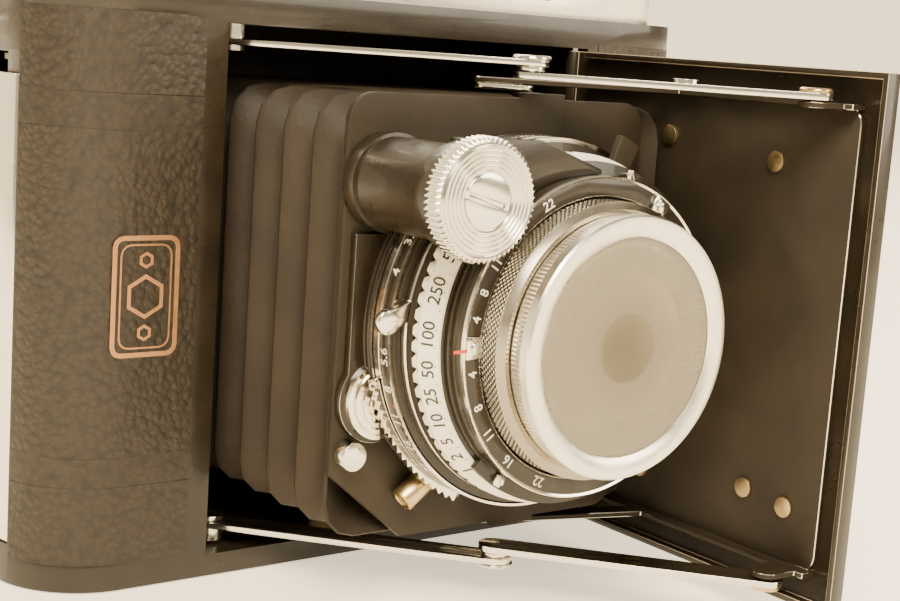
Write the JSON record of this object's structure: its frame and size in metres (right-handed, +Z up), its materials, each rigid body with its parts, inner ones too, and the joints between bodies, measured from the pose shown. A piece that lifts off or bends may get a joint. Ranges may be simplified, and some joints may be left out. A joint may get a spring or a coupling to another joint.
{
  "type": "folding camera",
  "caption": "Folding roll-film camera, open for use: leather-covered body, side-hinged door with struts, bellows, leaf shutter and a coupled focusing wheel beside the lens",
  "frame": {"origin": "the middle of the mouth of the tripod socket, in the plane of the base", "axes": "+X to the right for someone facing the lens, +Y back towards the film, +Z up; the lens looks along -Y"},
  "size_m": [0.1356, 0.112, 0.1056],
  "materials": {
    "painted_black": "black paint",
    "leather": "pebbled black",
    "satin_chrome": "satin",
    "bright_steel": "polished",
    "dark_steel": "blackened",
    "brass": "plain",
    "glass": "coated",
    "mirror_glass": "half-silvered",
    "red_plastic": "clear red",
    "black_plastic": "plain",
    "bellows_cloth": "pleated"
  },
  "bodies": {
    "body": {"body_casting": "painted_black", "front_leather": "leather", "top_housing": "satin_chrome", "finder_windows": "glass", "beam_splitter": "mirror_glass", "accessory_shoe": "satin_chrome", "strap_lugs": "satin_chrome", "tripod_bush": "brass", "film_gate": "painted_black", "hinge_pins": "bright_steel", "strut_anchors": "bright_steel", "spool_pins": "bright_steel", "bellows": "bellows_cloth"},
    "back": {"back_cover": "painted_black", "back_leather": "leather", "red_window": "red_plastic", "pressure_springs": "bright_steel"},
    "slider": {"window_slider": "black_plastic"},
    "film_plate": {"pressure_plate": "painted_black"},
    "latch": {"back_latch": "bright_steel"},
    "winder": {"winding_knob": "satin_chrome", "winding_spindle": "bright_steel", "take_up_spool": "dark_steel"},
    "supply": {"supply_spool": "dark_steel"},
    "left_roller": {"roller_left": "bright_steel"},
    "right_roller": {"roller_right": "bright_steel"},
    "release": {"release_button": "bright_steel"},
    "opener": {"door_button": "bright_steel"},
    "door": {"lens_door": "painted_black", "door_leather": "leather", "door_bracket": "painted_black", "bracket_rivets": "brass"},
    "rear_arms": {"rear_struts": "bright_steel", "knee_rivets": "bright_steel"},
    "front_arms": {"front_struts": "bright_steel"},
    "links": {"swing_links": "bright_steel"},
    "standard": {"lens_board": "painted_black", "standard_plate": "satin_chrome", "knurled_nut": "bright_steel", "wheel_housing": "painted_black", "shutter_housing": "painted_black", "face_plate": "painted_black", "face_screws": "bright_steel", "sync_post": "brass", "shutter_blades": "dark_steel", "iris_blades": "dark_steel", "rear_cell": "painted_black", "lens_elements": "glass", "depth_ring": "painted_black", "index_blocks": "bright_steel"},
    "wheel": {"focus_wheel": "bright_steel", "wheel_screw": "bright_steel"},
    "front_cell": {"focusing_ring": "painted_black", "front_lens": "glass", "filter_ring": "satin_chrome", "filter_glass": "glass"},
    "speeds": {"speed_ring": "satin_chrome"},
    "aperture": {"aperture_lever": "bright_steel"},
    "cocking": {"cocking_lever": "bright_steel"},
    "trigger": {"release_lever": "satin_chrome"}
  },
  "joints": [
    {"name": "door_hinge", "type": "hinge", "parent": "body", "child": "door", "pos_m": [0.0326, -0.0191, 0.04275], "axis": [0, 0, -1], "range_deg": [0, 90], "deforming": ["bellows"]},
    {"name": "rear_strut_hinge", "type": "hinge", "parent": "body", "child": "rear_arms", "pos_m": [-0.0296, -0.0138, 0.04275], "axis": [0, 0, 1], "range_deg": [0, 49]},
    {"name": "front_strut_hinge", "type": "hinge", "parent": "door", "child": "front_arms", "pos_m": [0.0264, -0.0764, 0.04275], "axis": [0, 0, -1], "range_deg": [0, 43]},
    {"name": "link_hinge", "type": "hinge", "parent": "door", "child": "links", "pos_m": [0.0003, -0.03637, 0.04275], "axis": [0, 0, 1], "range_deg": [0, 290]},
    {"name": "standard_hinge", "type": "hinge", "parent": "links", "child": "standard", "pos_m": [0.00404, -0.0406, 0.04275], "axis": [0, 0, -1], "range_deg": [0, 200]},
    {"name": "wheel_turn", "type": "hinge", "parent": "standard", "child": "wheel", "pos_m": [-0.0233, -0.066, 0.0622], "axis": [0, -1, 0], "range_deg": [0, 300]},
    {"name": "focus_turn", "type": "hinge", "parent": "standard", "child": "front_cell", "pos_m": [0, -0.06, 0.04275], "axis": [0, -1, 0], "range_deg": [-100, 0]},
    {"name": "speed_turn", "type": "hinge", "parent": "standard", "child": "speeds", "pos_m": [0, -0.06, 0.04275], "axis": [0, -1, 0], "range_deg": [-60, 100]},
    {"name": "aperture_turn", "type": "hinge", "parent": "standard", "child": "aperture", "pos_m": [0, -0.06, 0.04275], "axis": [0, -1, 0], "range_deg": [-30, 20]},
    {"name": "cocking_turn", "type": "hinge", "parent": "standard", "child": "cocking", "pos_m": [0, -0.06, 0.04275], "axis": [0, -1, 0], "range_deg": [0, 45], "stiffness_Nm_per_rad": 0.02},
    {"name": "trigger_turn", "type": "hinge", "parent": "standard", "child": "trigger", "pos_m": [0, -0.06, 0.04275], "axis": [0, -1, 0], "range_deg": [0, 15], "stiffness_Nm_per_rad": 0.02},
    {"name": "winder_turn", "type": "hinge", "parent": "body", "child": "winder", "pos_m": [-0.0471, -0.005, 0.08], "axis": [0, 0, -1], "continuous": true},
    {"name": "supply_turn", "type": "hinge", "parent": "body", "child": "supply", "pos_m": [0.0471, -0.005, 0.04275], "axis": [0, 0, -1], "continuous": true},
    {"name": "left_roller_turn", "type": "hinge", "parent": "body", "child": "left_roller", "pos_m": [-0.037, 0.0164, 0.04275], "axis": [0, 0, 1], "continuous": true},
    {"name": "right_roller_turn", "type": "hinge", "parent": "body", "child": "right_roller", "pos_m": [0.037, 0.0164, 0.04275], "axis": [0, 0, 1], "continuous": true},
    {"name": "release_press", "type": "slide", "parent": "body", "child": "release", "axis": [0, 0, -1], "range_m": [0, 0.003], "stiffness_N_per_m": 150},
    {"name": "opener_press", "type": "slide", "parent": "body", "child": "opener", "axis": [0, 0, -1], "range_m": [0, 0.0018], "stiffness_N_per_m": 150},
    {"name": "back_hinge", "type": "hinge", "parent": "body", "child": "back", "pos_m": [0.0623, 0.0185, 0.04275], "axis": [0, 0, -1], "range_deg": [0, 100]},
    {"name": "latch_slide", "type": "slide", "parent": "body", "child": "latch", "axis": [0, 0, 1], "range_m": [0, 0.003]},
    {"name": "plate_slide", "type": "slide", "parent": "back", "child": "film_plate", "axis": [0, 1, 0], "range_m": [0, 0.001], "stiffness_N_per_m": 200, "deforming": ["pressure_springs"]},
    {"name": "slider_slide", "type": "slide", "parent": "back", "child": "slider", "axis": [1, 0, 0], "range_m": [0, 0.014]}
  ],
  "couplings": [
    {"joint": "link_hinge", "follows": "door_hinge", "ratio": 3.209},
    {"joint": "standard_hinge", "follows": "door_hinge", "ratio": 2.209},
    {"joint": "rear_strut_hinge", "follows": "door_hinge", "ratio": 0.5354},
    {"joint": "front_strut_hinge", "follows": "door_hinge", "ratio": 0.4646},
    {"joint": "focus_turn", "follows": "wheel_turn", "ratio": -0.33}
  ]
}
